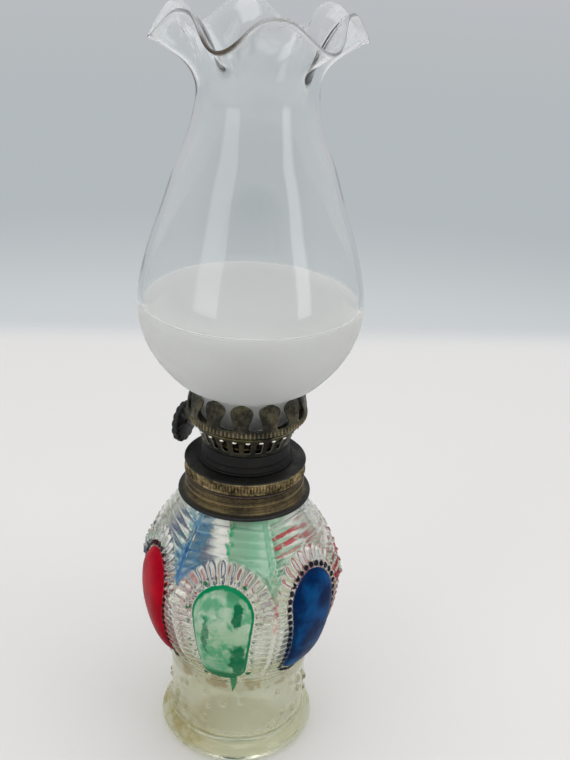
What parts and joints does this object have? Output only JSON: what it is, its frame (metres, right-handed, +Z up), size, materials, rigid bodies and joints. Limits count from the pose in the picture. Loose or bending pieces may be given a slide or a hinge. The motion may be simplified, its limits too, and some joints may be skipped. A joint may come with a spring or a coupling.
{
  "type": "oil lamp",
  "caption": "Small oil lamp: pressed glass font with raised painted ovals, brass screw burner with wick winder and pronged gallery, and a half-frosted glass chimney with a crimped rim.",
  "frame": {"origin": "middle of the foot's underside, on the lamp's axis", "axes": "+Z up along the lamp's axis, towards the chimney; -Y towards the front, where the green oval faces; the winder knob lies to -X and +Y"},
  "size_m": [0.0558, 0.0558, 0.1986],
  "materials": {
    "font_glass": "clear pressed glass with a faint green-yellow tint and worn red, green and blue enamel on its raised ovals",
    "chimney_glass": "thin clear glass above, etched white below the widest part",
    "aged_brass": "aged, dull, with dark patina in the recesses",
    "black_patina": "black patina, matt",
    "steel": "dull drawn wire and stamped wheels",
    "fibre": "oil-soaked fibre",
    "plaster": "matt plaster",
    "cotton": "flat woven cotton, charred at the top edge"
  },
  "bodies": {
    "font": {"glass_font": "font_glass", "font_collar": "aged_brass", "collar_cement": "plaster"},
    "washer": {"cap_washer": "fibre"},
    "burner": {"burner_cap": "aged_brass", "burner_drum": "black_patina", "shaft_bush": "aged_brass", "wick_guide": "aged_brass", "wick_tube": "aged_brass", "tube_ferrule": "aged_brass", "vent_tube": "aged_brass", "air_plate": "aged_brass", "gallery_basket": "aged_brass", "prong_crown": "aged_brass", "flame_cone": "aged_brass"},
    "winder": {"wick_shaft": "steel", "near_spur_wheel": "steel", "far_spur_wheel": "steel", "thumb_wheel": "black_patina", "knob_rivet": "aged_brass"},
    "wick": {"wick": "cotton"},
    "chimney": {"chimney": "chimney_glass"}
  },
  "joints": [
    {"name": "burner_rise", "type": "slide", "parent": "font", "child": "washer", "axis": [0, 0, 1], "range_m": [0, 0.0023]},
    {"name": "burner_unscrew", "type": "hinge", "parent": "washer", "child": "burner", "pos_m": [0, 0, 0.0824], "axis": [0, 0, 1], "range_deg": [0, 410]},
    {"name": "winder_turn", "type": "hinge", "parent": "burner", "child": "winder", "pos_m": [0.00139, 0.00299, 0.09], "axis": [-0.9063, 0.4226, 0], "range_deg": [-165, 115]},
    {"name": "wick_travel", "type": "slide", "parent": "burner", "child": "wick", "axis": [0, 0, 1], "range_m": [-0.007, 0.005]},
    {"name": "chimney_lift", "type": "slide", "parent": "burner", "child": "chimney", "axis": [0, 0, 1], "range_m": [0, 0.03]}
  ],
  "couplings": [
    {"joint": "burner_rise", "follows": "burner_unscrew", "m_per_rad": 0.00031831},
    {"joint": "wick_travel", "follows": "winder_turn", "m_per_rad": 0.0024}
  ]
}
